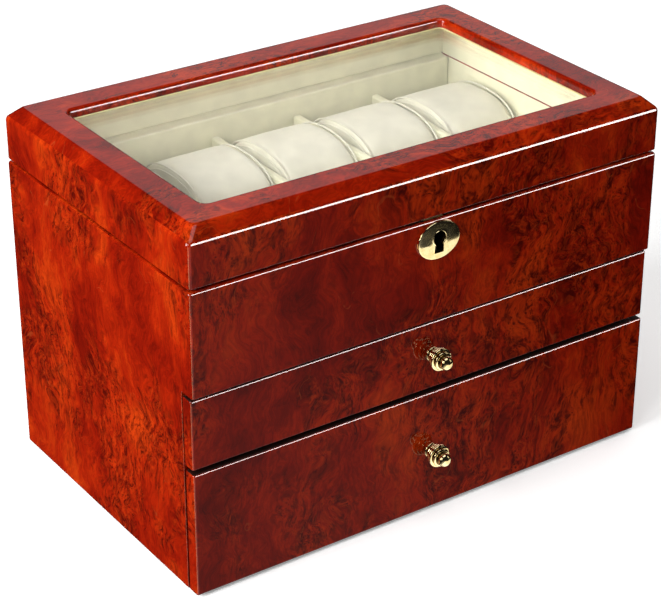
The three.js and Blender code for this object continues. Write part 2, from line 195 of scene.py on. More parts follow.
def lathe(name, profile, steps=40):
    """Turns (radius, height) points round +Z. The profile starts and ends on the axis."""
    verts, faces = [], []
    rows = []
    for radius, height in profile:
        if radius < 1e-9:
            rows.append([len(verts)])
            verts.append((0, 0, height))
            continue
        rows.append(list(range(len(verts), len(verts) + steps)))
        verts += [(radius * math.cos(TURN * i / steps), radius * math.sin(TURN * i / steps), height)
                  for i in range(steps)]
    for low, high in zip(rows, rows[1:]):
        for i in range(steps):
            j = (i + 1) % steps
            quad = [low[i % len(low)], low[j % len(low)], high[j % len(high)], high[i % len(high)]]
            faces.append(tuple(dict.fromkeys(quad)))
    return outward(from_data(name, verts, faces))


def tube(name, path, radius, side, steps=8):
    """A closed tube round a closed path; side is the path plane's normal."""
    side = Vector(side).normalized()
    rings = []
    for i, point in enumerate(path):
        along = (path[(i + 1) % len(path)] - path[i - 1]).normalized()
        out = along.cross(side).normalized()
        rings.append([point + radius * (math.cos(a) * out + math.sin(a) * side)
                      for a in (TURN * k / steps for k in range(steps))])
    return loft(name, rings, closed=True)


def join(name, objects):
    """One object from several, keeping each one's materials."""
    bm = bmesh.new()
    materials = []
    for obj in objects:
        start = len(bm.faces)
        bm.from_mesh(obj.data)
        bm.faces.ensure_lookup_table()
        slots = [m for m in obj.data.materials] or [None]
        for m in slots:
            if m not in materials:
                materials.append(m)
        for face in bm.faces[start:]:
            face.material_index = materials.index(slots[min(face.material_index, len(slots) - 1)])
    for obj in objects:
        bpy.data.objects.remove(obj)
    joined = from_bmesh(name, bm)
    for m in materials:
        joined.data.materials.append(m)
    return joined


# ---------------------------------------------------------------- materials

class Graph:
    """Builds the nodes of a material, or of the world."""

    def __init__(self, name, owner=None):
        self.owner = owner or bpy.data.materials.new(name)
        self.owner.use_nodes = True
        self.tree = self.owner.node_tree
        self.tree.nodes.clear()
        self.output = self.tree.nodes.new("ShaderNodeOutputWorld" if owner else "ShaderNodeOutputMaterial")

    def node(self, kind, inputs=(), **settings):
        made = self.tree.nodes.new("ShaderNode" + kind)
        for key, value in settings.items():
            setattr(made, key, value)
        for key, value in dict(inputs).items():
            if isinstance(value, bpy.types.NodeSocket):
                self.tree.links.new(value, made.inputs[key])
            else:
                made.inputs[key].default_value = value
        return made

    def coords(self):
        return self.node("TexCoord").outputs["Object"]

    def grain_coords(self, axes, offset):
        """Object coordinates reordered as along the grain, across it and through the sheet."""
        parts = self.node("SeparateXYZ", {0: self.coords()}).outputs
        chosen = {place: parts["XYZ".index(axis)] for place, axis in enumerate(axes)}
        order = self.node("CombineXYZ", chosen).outputs[0]
        return self.node("Mapping", {"Vector": order, "Location": offset}).outputs[0]

    def scaled(self, vector, scale):
        return self.node("Mapping", {"Vector": vector, "Scale": scale}).outputs[0]

    def pushed(self, vector, scale, reach):
        """Moves a vector about by noise."""
        drift = self.noise(vector, scale, 2.0, 0.5).outputs["Color"]
        centred = self.node("VectorMath", {0: drift, 1: (0.5, 0.5, 0.5)}, operation="SUBTRACT").outputs[0]
        push = self.node("VectorMath", {0: centred, "Scale": reach}, operation="SCALE").outputs[0]
        return self.node("VectorMath", {0: vector, 1: push}, operation="ADD").outputs[0]

    def cells(self, vector, scale):
        return self.node("TexVoronoi", {"Vector": vector, "Scale": scale}).outputs["Distance"]

    def grey(self, value):
        return self.node("CombineColor", {0: value, 1: value, 2: value}).outputs[0]

    def noise(self, vector, scale, detail=3.0, roughness=0.5, distortion=0.0):
        return self.node("TexNoise", {"Vector": vector, "Scale": scale, "Detail": detail,
                                      "Roughness": roughness, "Distortion": distortion})

    def math(self, operation, a, b=0.0):
        return self.node("Math", {0: a, 1: b}, operation=operation).outputs[0]

    def remap(self, value, low, high, to_low=0.0, to_high=1.0):
        return self.node("MapRange", {"Value": value, "From Min": low, "From Max": high, "To Min": to_low,
                                      "To Max": to_high}, interpolation_type="SMOOTHSTEP").outputs[0]

    def ramp(self, value, stops):
        made = self.node("ValToRGB", {0: value})
        elements = made.color_ramp.elements
        elements[0].position, elements[0].color = stops[0][0], (*stops[0][1], 1)
        elements[1].position, elements[1].color = stops[-1][0], (*stops[-1][1], 1)
        for place, colour in stops[1:-1]:
            elements.new(place).color = (*colour, 1)
        return made.outputs[0]

    def mix(self, factor, a, b, blend="MIX"):
        made = self.node("Mix", {0: factor, 6: a, 7: b}, data_type="RGBA", blend_type=blend)
        return made.outputs[2]

    def bump(self, height, strength, distance):
        return self.node("Bump", {"Height": height, "Strength": strength, "Distance": distance}).outputs[0]

    def principled(self, **inputs):
        names = {key.replace("_", " "): value for key, value in inputs.items()}
        shader = self.node("BsdfPrincipled", names)
        self.tree.links.new(shader.outputs[0], self.output.inputs[0])
        return self.owner


def burl(name, axes, offset, blot_depth, zoom=1.0):
    """Lacquered burl veneer: curled figure, gathered eyes, short dark strokes and a few pale hairlines."""
    g = Graph(name)
    base = g.scaled(g.grain_coords(axes, offset), (zoom, zoom, zoom))
    drift = g.pushed(base, 9.0, 0.045)
    curl = g.pushed(drift, 48.0, 0.022)

    figure = g.noise(g.scaled(curl, (0.5, 1, 1)), 24.0, 8.0, 0.62).outputs[0]
    crowd = g.noise(g.scaled(drift, (0.60, 1, 1)), 19.0, 5.0, 0.60).outputs[0]
    stain = g.noise(g.scaled(curl, (0.60, 1, 1)), 85.0, 6.0, 0.66).outputs[0]
    mottle = g.noise(g.scaled(curl, (0.36, 1, 1)), 290.0, 5.0, 0.66).outputs[0]
    fibre = g.noise(g.scaled(curl, (0.07, 1, 1)), 760.0, 3.0, 0.60).outputs[0]
    large_eyes = g.cells(g.scaled(curl, (0.50, 1, 1)), 290.0)
    small_eyes = g.cells(g.scaled(curl, (0.50, 1, 1)), 560.0)
    vein = g.noise(g.scaled(curl, (0.45, 1, 1)), 18.0, 2.0, 0.5).outputs[0]

    colour = g.ramp(figure, [(0.33, (0.120, 0.0030, 0.0006)), (0.44, (0.215, 0.0062, 0.0008)),
                             (0.54, (0.320, 0.0130, 0.0012)), (0.66, (0.450, 0.0340, 0.0024))])
    colour = g.mix(1.0, colour, g.grey(g.remap(fibre, 0.34, 0.66, 0.80, 1.14)), "MULTIPLY")
    gathered = g.remap(crowd, 0.48, 0.58)
    blots = g.math("MULTIPLY", g.remap(stain, 0.48, 0.62), g.remap(crowd, 0.45, 0.57, 0.06, 1.0))
    colour = g.mix(g.math("MULTIPLY", blots, blot_depth), colour, (0.062, 0.0018, 0.0006, 1))
    strokes = g.math("MULTIPLY", g.remap(mottle, 0.46, 0.62), g.remap(crowd, 0.44, 0.56, 0.10, 1.0))
    colour = g.mix(g.math("MULTIPLY", strokes, 0.80), colour, (0.048, 0.0015, 0.0006, 1))
    glow = g.math("MULTIPLY", g.remap(mottle, 0.46, 0.36), gathered)
    colour = g.mix(g.math("MULTIPLY", glow, 0.50), colour, (0.50, 0.036, 0.003, 1))
    for eyes, reach, strength in ((large_eyes, 0.26, 0.75), (small_eyes, 0.34, 0.62)):
        ring = g.math("MULTIPLY", g.remap(eyes, reach + 0.24, reach + 0.04), gathered)
        colour = g.mix(g.math("MULTIPLY", ring, 0.22), colour, (0.46, 0.034, 0.003, 1))
        dot = g.math("MULTIPLY", g.remap(eyes, reach, reach * 0.25), gathered)
        colour = g.mix(g.math("MULTIPLY", dot, strength), colour, (0.030, 0.0012, 0.0006, 1))
    thin = g.remap(g.math("ABSOLUTE", g.math("SUBTRACT", vein, 0.5)), 0.0030, 0.0006)
    thin = g.math("MULTIPLY", thin, g.remap(stain, 0.52, 0.58))
    colour = g.mix(g.math("MULTIPLY", thin, 0.16), colour, (0.60, 0.120, 0.028, 1))

    wave = g.noise(base, 16.0, 1.0, 0.4).outputs[0]
    return g.principled(
        Base_Color=colour, Roughness=g.remap(figure, 0.3, 0.7, 0.50, 0.40), Specular_IOR_Level=0.0, IOR=1.45,
        Coat_Weight=1.0, Coat_Roughness=0.015, Coat_IOR=1.5,
        Normal=g.bump(mottle, 0.05, 0.0002), Coat_Normal=g.bump(wave, 0.05, 0.004))


def shade_paint_for_gaps(name):
    """Black-brown painted shade with a faint grain, for the edges inside the drawer gaps and the shelf
    between the drawers, so the gaps look dark.
    """
    g = Graph(name)
    grain = g.noise(g.grain_coords("XYZ", (0, 0, 0)), 300.0, 3.0, 0.6).outputs[0]
    colour = g.mix(g.remap(grain, 0.35, 0.65), (0.010, 0.0022, 0.0012, 1), (0.022, 0.0040, 0.0020, 1))
    return g.principled(Base_Color=colour, Roughness=0.45, Specular_IOR_Level=0.2)


def leatherette(name, colour, grain=1.0, roughness=0.46):
    """Fine-grained cream leatherette with slight unevenness."""
    g = Graph(name)
    base = g.coords()
    cells = g.node("TexVoronoi", {"Vector": base, "Scale": 1500.0}, feature="DISTANCE_TO_EDGE").outputs[0]
    soft = g.noise(base, 70.0, 3.0, 0.5).outputs[0]
    dark = tuple(c * 0.90 for c in colour)
    shade = g.mix(g.remap(soft, 0.3, 0.7), (*dark, 1), (*colour, 1))
    height = g.math("ADD", g.math("MULTIPLY", g.remap(cells, 0.0, 0.25), 0.25), soft)
    uneven = g.remap(soft, 0.3, 0.7, roughness + 0.06, roughness - 0.05)
    return g.principled(Base_Color=shade, Roughness=uneven, Specular_IOR_Level=0.4,
                        Sheen_Weight=0.25, Sheen_Roughness=0.4,
                        Normal=g.bump(height, 0.35 * grain, 0.0004))


def brass(name, colour, low, high):
    g = Graph(name)
    base = g.coords()
    smudge = g.noise(base, 240.0, 4.0, 0.6).outputs[0]
    scratch = g.noise(g.scaled(base, (1, 1, 0.06)), 2600.0, 2.0, 0.6).outputs[0]
    darker = tuple(c * f for c, f in zip(colour, (0.86, 0.80, 0.66)))
    tint = g.mix(g.remap(smudge, 0.35, 0.75), (*colour, 1), (*darker, 1))
    return g.principled(Base_Color=tint, Metallic=1.0, Roughness=g.remap(smudge, 0.3, 0.7, low, high),
                        Normal=g.bump(scratch, 0.04, 0.0001))


def plain_wood(name):
    """Sealed pale wood for the drawer boxes and the carcass inside."""
    g = Graph(name)
    base = g.coords()
    rings = g.noise(g.scaled(base, (0.08, 1, 1)), 120.0, 5.0, 0.6, 0.3).outputs[0]
    pores = g.noise(g.scaled(base, (0.04, 1, 1)), 1400.0, 2.0, 0.6).outputs[0]
    colour = g.ramp(rings, [(0.3, (0.30, 0.155, 0.070)), (0.5, (0.42, 0.24, 0.12)),
                            (0.7, (0.52, 0.32, 0.17))])
    colour = g.mix(g.remap(pores, 0.58, 0.70, 0.0, 0.55), colour, (0.20, 0.10, 0.045, 1))
    return g.principled(Base_Color=colour, Roughness=g.remap(rings, 0.3, 0.7, 0.5, 0.38),
                        Specular_IOR_Level=0.4, Normal=g.bump(pores, 0.25, 0.0002))


def suede(name, colour):
    g = Graph(name)
    base = g.coords()
    nap = g.noise(base, 2200.0, 3.0, 0.7).outputs[0]
    patch = g.noise(base, 45.0, 3.0, 0.5).outputs[0]
    shade = g.mix(g.remap(patch, 0.35, 0.65), (*(c * 0.93 for c in colour), 1), (*colour, 1))
    shade = g.mix(g.remap(nap, 0.4, 0.7, 0.0, 0.25), shade, (*(min(1, c * 1.25) for c in colour), 1))
    return g.principled(Base_Color=shade, Roughness=0.95, Specular_IOR_Level=0.2, Sheen_Weight=0.5,
                        Sheen_Roughness=0.5, Normal=g.bump(nap, 0.5, 0.0004))


def clear_glass(name):
    """Clear pane that lets lamps through to what lies under it."""
    g = Graph(name)
    smear = g.noise(g.coords(), 30.0, 2.0, 0.5).outputs[0]
    pane = g.node("BsdfPrincipled", {"Base Color": (0.99, 0.985, 0.97, 1), "Transmission Weight": 1.0,
                                     "IOR": 1.30, "Roughness": 0.0, "Normal": g.bump(smear, 0.01, 0.0005)})
    open_air = g.node("BsdfTransparent", {"Color": (0.98, 0.975, 0.96, 1)})
    shadow = g.node("LightPath").outputs["Is Shadow Ray"]
    mixed = g.node("MixShader", {0: shadow, 1: pane.outputs[0], 2: open_air.outputs[0]})
    g.tree.links.new(mixed.outputs[0], g.output.inputs[0])
    return g.owner


CREAM = (0.83, 0.815, 0.60)
PILLOW_CREAM = (0.785, 0.765, 0.64)
burl_front = burl("burl_front", "ZXY", (0.31, 0.12, 0.07), 0.85, 0.78)
burl_side = burl("burl_side", "ZYX", (0.05, 0.47, 0.22), 0.60)
burl_top = burl("burl_top", "XYZ", (0.63, 0.27, 0.11), 0.55)
# Black-brown painted shade for the faces inside the drawer gaps.
painted_gap_shade = shade_paint_for_gaps("gap_edges_painted_shade")
cream = leatherette("cream_leatherette", CREAM, 0.6)
bead_cream = leatherette("glazing_bead_cream", (0.74, 0.65, 0.32), 0.3)
pillow_cream = leatherette("pillow_leatherette", PILLOW_CREAM, 1.0, 0.40)
gold = brass("polished_gold_brass", (0.91, 0.76, 0.44), 0.05, 0.12)
# Near-black brass for the knob's grooves: painted shade in the hollows.
groove_shade_brass = brass("brass_painted_groove_shade", (0.16, 0.10, 0.04), 0.30, 0.45)
# Near-black steel: painted shade in the keyhole, the screw slots and the lock case seen through the lid gap.
shade_black_steel = brass("near_black_steel_painted_shade", (0.020, 0.016, 0.013), 0.5, 0.65)
satin = brass("satin_brass_metal", (0.80, 0.64, 0.34), 0.24, 0.40)
inner_wood = plain_wood("drawer_box_wood")
drawer_cloth = suede("drawer_suede", (0.78, 0.73, 0.58))
dark_felt = suede("dark_felt", (0.035, 0.028, 0.026))
glass = clear_glass("clear_glass")


def place(obj, body, slot, material=None, replaces=()):
    """Says what a piece rides on, which CAD nodes it stands for and, when a material is given, what it is
    made of.
    """
    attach(obj, body)
    if replaces:
        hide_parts(*replaces)
    if material:
        obj.data.materials.clear()
        obj.data.materials.append(material)
    return obj


def veneer(obj):
    """Front, side and top veneers, chosen by where each face looks."""
    obj.data.materials.clear()
    for material in (burl_front, burl_side, burl_top):
        obj.data.materials.append(material)
    for face in obj.data.polygons:
        n = face.normal
        strongest = max(range(3), key=lambda axis: abs(n[axis]) * (1.02 if axis == 1 else 1.0))
        face.material_index = {0: 1, 1: 0, 2: 2}[strongest]
    return obj


# ---------------------------------------------------------------- case

def case_shell():
    """The four veneered panels as one lacquered shell, open at the top and round the drawers."""
    shell = block("case_shell", (-X1, Y0, CASE_BOTTOM), (X1, Y1, CASE_TOP), 1.7 * MM, 6)
    below = 10 * MM
    hollow = block("cut", (-INNER_X, INNER_Y0, CASE_BOTTOM - below), (INNER_X, INNER_Y1, CASE_TOP + below))
    carve(shell, hollow)
    fronts = block("cut", (-X1 - below, Y0 - below, CASE_BOTTOM - below),
                   (X1 + below, CARCASS_FRONT, FRONT_PANEL_BOTTOM))
    carve(shell, fronts)
    for side in ("left", "right"):
        leaf_lo, leaf_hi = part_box(f"case_hinge_leaf_{side}")
        mortise = block("cut", (leaf_lo.x - GAP, INNER_Y1 + 2 * MM, leaf_lo.z - MM),
                        (leaf_hi.x + GAP, Y1 + below, CASE_TOP + below))
        carve(shell, mortise)
    lock_lo, lock_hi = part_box("lock_case")
    bay = block("cut", (lock_lo.x - GAP, lock_lo.y - GAP, lock_lo.z - GAP),
                (lock_hi.x + GAP, INNER_Y0 + below, CASE_TOP + below))
    carve(shell, bay)
    carve(shell, keyhole_cutter("cut", 0.5 * MM, Y0 - below, INNER_Y0))
    bevel_edges(shell, 0.5 * MM, 3, 60)
    bake_modifiers(shell)
    veneer(shell)
    place(shell, "case", "burl_lacquer",
          replaces=("side_panel_left", "side_panel_right", "back_panel", "upper_front_panel"))
    return soften(shell, 50)


# ---------------------------------------------------------------- lock plate

plate_lo, plate_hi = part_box("keyhole_escutcheon")
PLATE_Z = (plate_lo.z + plate_hi.z) / 2
KEY_HEAD_Z, KEY_HEAD_R = 186.0 * MM, 4.2 * MM
KEY_NECK, KEY_FOOT, KEY_FOOT_Z = 2.5 * MM, 3.0 * MM, 176.8 * MM


def keyhole_points(margin, count=48):
    """Keyhole outline as (x, z), evenly spaced, starting at the foot's middle and turning towards +X."""
    radius = KEY_HEAD_R + margin
    lean = math.asin((KEY_NECK + margin) / radius)
    dense = [Vector((0, KEY_FOOT_Z - margin)), Vector((KEY_FOOT + margin, KEY_FOOT_Z - margin))]
    for i in range(33):
        angle = -math.pi / 2 + lean + (TURN - 2 * lean) * i / 32
        dense.append(Vector((radius * math.cos(angle), KEY_HEAD_Z + radius * math.sin(angle))))
    dense += [Vector((-KEY_FOOT - margin, KEY_FOOT_Z - margin)), Vector((0, KEY_FOOT_Z - margin))]
    lengths = [0.0]
    for a, b in zip(dense, dense[1:]):
        lengths.append(lengths[-1] + (b - a).length)
    points, k = [], 0
    for i in range(count):
        wanted = lengths[-1] * i / count
        while lengths[k + 1] < wanted:
            k += 1
        share = (wanted - lengths[k]) / (lengths[k + 1] - lengths[k])
        points.append(dense[k].lerp(dense[k + 1], share))
    return points


def keyhole_cutter(name, margin, y0, y1):
    outline = keyhole_points(margin)
    return loft(name, [[Vector((p.x, y, p.y)) for p in outline] for y in (y0, y1)])


def escutcheon():
    """Oval plate with a fine lip round the keyhole; its lower half falls away to the rim."""
    half_w, half_h = (plate_hi.x - plate_lo.x) / 2, (plate_hi.z - plate_lo.z) / 2
    inner = keyhole_points(0.0, 96)
    face, back = plate_lo.y, Y0 + 0.1 * MM
    rings = []
    # (share of the way from the keyhole to the rim, height over the panel as a share)
    section = [(0.0, 0.0), (0.0, 0.66), (0.010, 0.82), (0.030, 0.96), (0.050, 1.0), (0.070, 0.95),
               (0.085, 0.86), (0.10, 0.82), (0.30, 0.82), (0.45, 0.82), (0.60, 0.815), (0.72, 0.81),
               (0.84, 0.80), (0.93, 0.785), (0.965, 0.74), (0.985, 0.60), (1.0, 0.25), (1.0, 0.0)]
    for share, height in section:
        points = []
        for p in inner:
            angle = math.atan2(p.y - PLATE_Z, p.x)
            rim = Vector((half_w * math.cos(angle), PLATE_Z + half_h * math.sin(angle)))
            spot = p.lerp(rim, share)
            low = max(0.0, PLATE_Z - 0.5 * MM - spot.y) / half_h
            fall = min(height, 0.42 * low * low)
            points.append(Vector((spot.x, back + (face - back) * (height - fall), spot.y)))
        rings.append(points)
    plate = loft("oval_escutcheon", rings, closed=True)
    place(plate, "case", "polished_brass", gold, ("keyhole_escutcheon",))
    return soften(plate, 60)


def lock_inside():
    """Near-black sleeve round the key's way in, and a near-black plate at the back of the lock case: painted
    shade inside the keyhole.
    """
    lock_lo, lock_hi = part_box("lock_case")
    mouth = lock_lo.y - 0.05 * MM
    shells = [(0.42, Y0 + 0.3 * MM), (0.42, mouth), (0.12, mouth), (0.12, Y0 + 0.3 * MM)]
    rings = [[Vector((p.x, y, p.y)) for p in keyhole_points(margin * MM)] for margin, y in shells]
    sleeve = loft("keyhole_sleeve", rings, closed=True)
    place(sleeve, "case", "lock_steel", shade_black_steel)
    wall = 1.1 * MM
    plate = block("lock_back_plate", (-7.6 * MM, lock_hi.y - wall - 0.3 * MM, lock_lo.z + 4.5 * MM),
                  (7.6 * MM, lock_hi.y - wall - 0.05 * MM, lock_hi.z - 1.0 * MM), 0.08 * MM, 1)
    place(plate, "case", "lock_steel", shade_black_steel)
    soften(sleeve)


# ---------------------------------------------------------------- lining of the watch compartment

def lined_board(name, node, radius, body="case", material=None):
    lo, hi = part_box(node)
    board = block(name, lo, hi, radius, 3)
    place(board, body, "cream_lining", material or cream, (node,))
    return soften(board, 50)


def dust_lips():
    """The case's lacquered lip, showing as a fine dark line between the side linings."""
    for name, side in (("left", -1), ("right", 1)):
        lo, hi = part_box(f"lining_{name}")
        inner = lo.x if side > 0 else hi.x
        near, far = sorted((inner - side * 0.15 * MM, inner + side * 1.2 * MM))
        lip = block(f"dust_lip_{name}", (near, lo.y, hi.z - 0.45 * MM), (far, hi.y, hi.z + 0.12 * MM),
                    0.05 * MM, 1)
        place(lip, "case", "burl_lacquer", burl_front)
        soften(lip)


def compartment():
    dust_lips()
    for node in ("lining_front", "lining_left", "lining_right"):
        lined_board(node + "_wrap", node, 0.7 * MM)
    lined_board("rear_ledge_wrap", "rear_ledge", 1.3 * MM)
    lo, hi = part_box("rear_ledge")
    strip = block("rear_ledge_strip", (lo.x, hi.y - 2.5 * MM, hi.z - 2 * MM),
                  (hi.x, hi.y, hi.z + 0.24 * MM), 0.1 * MM, 1)
    place(strip, "case", "cream_lining", cream)
    soften(strip)
    lined_board("compartment_floor_wrap", "compartment_floor", 0.4 * MM)
    for node in ["row_divider"] + [f"column_divider_{i}" for i in range(1, 5)]:
        lined_board(node + "_wrap", node, 1.7 * MM)


# ---------------------------------------------------------------- watch pillows

def pillow_outline(half_length, half_height, x, count=44, power=2.4):
    points = []
    for i in range(count):
        angle = TURN * i / count
        c, s = math.cos(angle), math.sin(angle)
        y = half_length * math.copysign(abs(c) ** (2 / power), c)
        z = half_height * math.copysign(abs(s) ** (2 / power), s)
        points.append(Vector((x, y, z)))
    return points


def stuffed(obj, voxel, pressure, limit, frames=20):
    """Blows a closed mesh up as cloth, caps how far each point moves and keeps the result."""
    remesh = obj.modifiers.new("remesh", "REMESH")
    remesh.mode = "VOXEL"
    remesh.voxel_size = voxel
    bake_modifiers(obj)
    start = [v.co.copy() for v in obj.data.vertices]
    cloth = obj.modifiers.new("cloth", "CLOTH")
    cloth.settings.use_pressure = True
    cloth.settings.uniform_pressure_force = pressure
    cloth.settings.tension_stiffness = 12
    cloth.settings.compression_stiffness = 12
    cloth.settings.bending_stiffness = 1.2
    cloth.settings.effector_weights.gravity = 0
    cloth.settings.quality = 6
    cloth.point_cache.frame_start, cloth.point_cache.frame_end = 1, frames
    scene = bpy.context.scene
    for number in range(1, frames + 1):
        scene.frame_set(number)
    bake_modifiers(obj)
    scene.frame_set(1)
    for vert, origin in zip(obj.data.vertices, start):
        moved = vert.co - origin
        if moved.length > limit:
            vert.co = origin + moved * (limit / moved.length)
    return obj


def pillow_mesh():
    """One stuffed roll, centred on the origin with its axis along X."""
    lo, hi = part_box("watch_pillow_rear_1")
    half = (hi - lo) / 2
    slack = 1.6 * MM
    a, b, w = half.y - slack, half.z - slack, half.x - slack * 0.6
    rim = 3.2 * MM
    rings = []
    for x, grow in ((-w, -rim), (-w + 0.3 * rim, -0.45 * rim), (-w + rim, 0.0)):
        rings.append(pillow_outline(a + grow, b + grow, x))
    body_steps = 6
    for i in range(1, body_steps):
        rings.append(pillow_outline(a, b, (-w + rim) + 2 * (w - rim) * i / body_steps))
    for x, grow in ((w - rim, 0.0), (w - 0.3 * rim, -0.45 * rim), (w, -rim)):
        rings.append(pillow_outline(a + grow, b + grow, x))
    roll = loft("pillow", rings)
    stuffed(roll, 3.0 * MM, 4.0, 1.5 * MM)
    smooth = roll.modifiers.new("smooth", "SMOOTH")
    smooth.factor, smooth.iterations = 0.5, 3
    subdivide = roll.modifiers.new("subdivide", "SUBSURF")
    subdivide.levels = subdivide.render_levels = 1
    bake_modifiers(roll)
    return roll, half


def pillow_trim(half):
    """Piping round both end caps and the seam just inside it."""
    parts = []
    for side in (-1, 1):
        for inset, radius, x_in in ((2.4, 0.58, 1.5), (5.6, 0.42, 0.75)):
            path = pillow_outline(half.y - inset * MM, half.z - inset * MM, side * (half.x - x_in * MM), 88)
            parts.append(tube("piping", path, radius * MM, (1, 0, 0)))
    return join("piping", parts)


def pillows():
    roll, half = pillow_mesh()
    trim = pillow_trim(half)
    for row in ("front", "rear"):
        for number in range(1, 6):
            node = f"watch_pillow_{row}_{number}"
            lo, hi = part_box(node)
            middle = (lo + hi) / 2
            name = f"pillow_{row}_{number}"
            seed = number * 3.7 + (11.3 if row == "rear" else 0.0)
            cushion = new_object(name, roll.data.copy())
            edging = new_object(f"{name}_piping", trim.data.copy())
            for obj, wobble in ((cushion, 0.35 * MM), (edging, 0.0)):
                for vert in obj.data.vertices:
                    dent = noise.noise(vert.co * 55 + Vector((seed, seed, seed)))
                    inward = Vector((0, vert.co.y, vert.co.z)).normalized()
                    vert.co = vert.co - inward * wobble * (dent + 0.5) + middle
            place(cushion, "case", "pillow_leatherette", pillow_cream, (node,))
            place(edging, "case", "pillow_leatherette", pillow_cream)
            soften(cushion, 60)
            soften(edging, 60)
    bpy.data.objects.remove(roll)
    bpy.data.objects.remove(trim)


# ---------------------------------------------------------------- lid

def lid_frame():
    """The four rails as one bevelled, rounded frame with the glazed opening."""
    inset, drop = 7.5 * MM, 7.2 * MM
    lower_arc, upper_arc = 3.9 * MM, 3.4 * MM
    bottom_arc = 1.0 * MM
    tilt = math.atan2(drop, inset)

    def outer(u, z):
        radius = 2.6 * MM + 0.12 * u
        return ring(-X1 + u, X1 - u, Y0 + u, Y1 - u, radius, z)

    def arc(centre_u, centre_z, radius, start, end, steps):
        points = []
        for i in range(steps + 1):
            a = start + (end - start) * i / steps
            points.append((centre_u - radius * math.cos(a), centre_z + radius * math.sin(a)))
        return points

    half = (math.pi / 2 - tilt) / 2
    reach_low = lower_arc * math.tan(half)
    reach_high = upper_arc * math.tan(tilt / 2)
    section = arc(bottom_arc, LID_BOTTOM + bottom_arc, bottom_arc, -math.pi / 2, 0, 5)
    section += arc(lower_arc, LID_TOP - drop - reach_low, lower_arc, 0, math.pi / 2 - tilt, 6)
    section += arc(inset + reach_high, LID_TOP - upper_arc, upper_arc, math.pi / 2 - tilt, math.pi / 2, 6)
    rings = [outer(u, z) for u, z in section]
    edge = 2.6 * MM
    hole_radius = 4.5 * MM

    def hole(grow, z):
        return ring(-OPENING_X - grow, OPENING_X + grow, OPENING_Y0 - grow, OPENING_Y1 + grow,
                    hole_radius + grow, z)

    for i in range(5):
        a = math.pi / 2 * i / 4
        rings.append(hole(edge * (1 - math.sin(a)), LID_TOP - edge * (1 - math.cos(a))))
    rings.append(hole(0.0, RAIL_UNDER))
    for z in (RAIL_UNDER, LID_BOTTOM + 0.5 * MM):
        rings.append(ring(-INNER_X, INNER_X, INNER_Y0, INNER_Y1, 0.5 * MM, z))
    rings.append(ring(-INNER_X - 0.5 * MM, INNER_X + 0.5 * MM, INNER_Y0 - 0.5 * MM, INNER_Y1 + 0.5 * MM,
                      0.6 * MM, LID_BOTTOM))
    lid = loft("lid_frame", rings, closed=True)
    below = 10 * MM
    for side in ("left", "right"):
        leaf_lo, leaf_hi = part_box(f"lid_hinge_leaf_{side}")
        carve(lid, block("cut", (leaf_lo.x - GAP, leaf_lo.y - GAP, LID_BOTTOM - below),
                         (leaf_hi.x + GAP, Y1 + below, HINGE_AXIS.z + 2.1 * MM)))
    strike_lo, strike_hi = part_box("strike_plate")
    carve(lid, block("cut", (strike_lo.x - GAP, strike_lo.y - GAP, LID_BOTTOM - below),
                     (strike_hi.x + GAP, strike_hi.y + GAP, strike_hi.z + GAP)))
    openings = frame["record"]["physics"]["openings"]
    pocket_lo, pocket_hi = next(entry["box_m"] for entry in openings if entry["name"] == "bolt_pocket")
    carve(lid, block("cut", (pocket_lo[0], pocket_lo[1], LID_BOTTOM), pocket_hi))
    veneer(lid)
    place(lid, "lid", "burl_lacquer",
          replaces=("lid_front_rail", "lid_back_rail", "lid_left_rail", "lid_right_rail"))
    return soften(lid, 40)


def opening_bead():
    """Fine pale yellow tube round the opening, just above the pane's edge."""
    radius = 0.6 * MM
    height = GLASS_TOP + radius + 0.1 * MM
    path = ring(-OPENING_X + radius, OPENING_X - radius, OPENING_Y0 + radius, OPENING_Y1 - radius,
                4.5 * MM - radius, height)
    bead = tube("glazing_bead", path, radius, (0, 0, 1))
    place(bead, "lid", "cream_lining", bead_cream)
    soften(bead, 80)


def lid_inside():
    opening_bead()
    for node in ("lid_lining_front", "lid_lining_back", "lid_lining_left", "lid_lining_right"):
        lined_board(node + "_wrap", node, 0.4 * MM, "lid")
    pane = frame["nodes"]["lid_glass"]
    pane.data.materials.clear()
    pane.data.materials.append(glass)


# ---------------------------------------------------------------- drawers

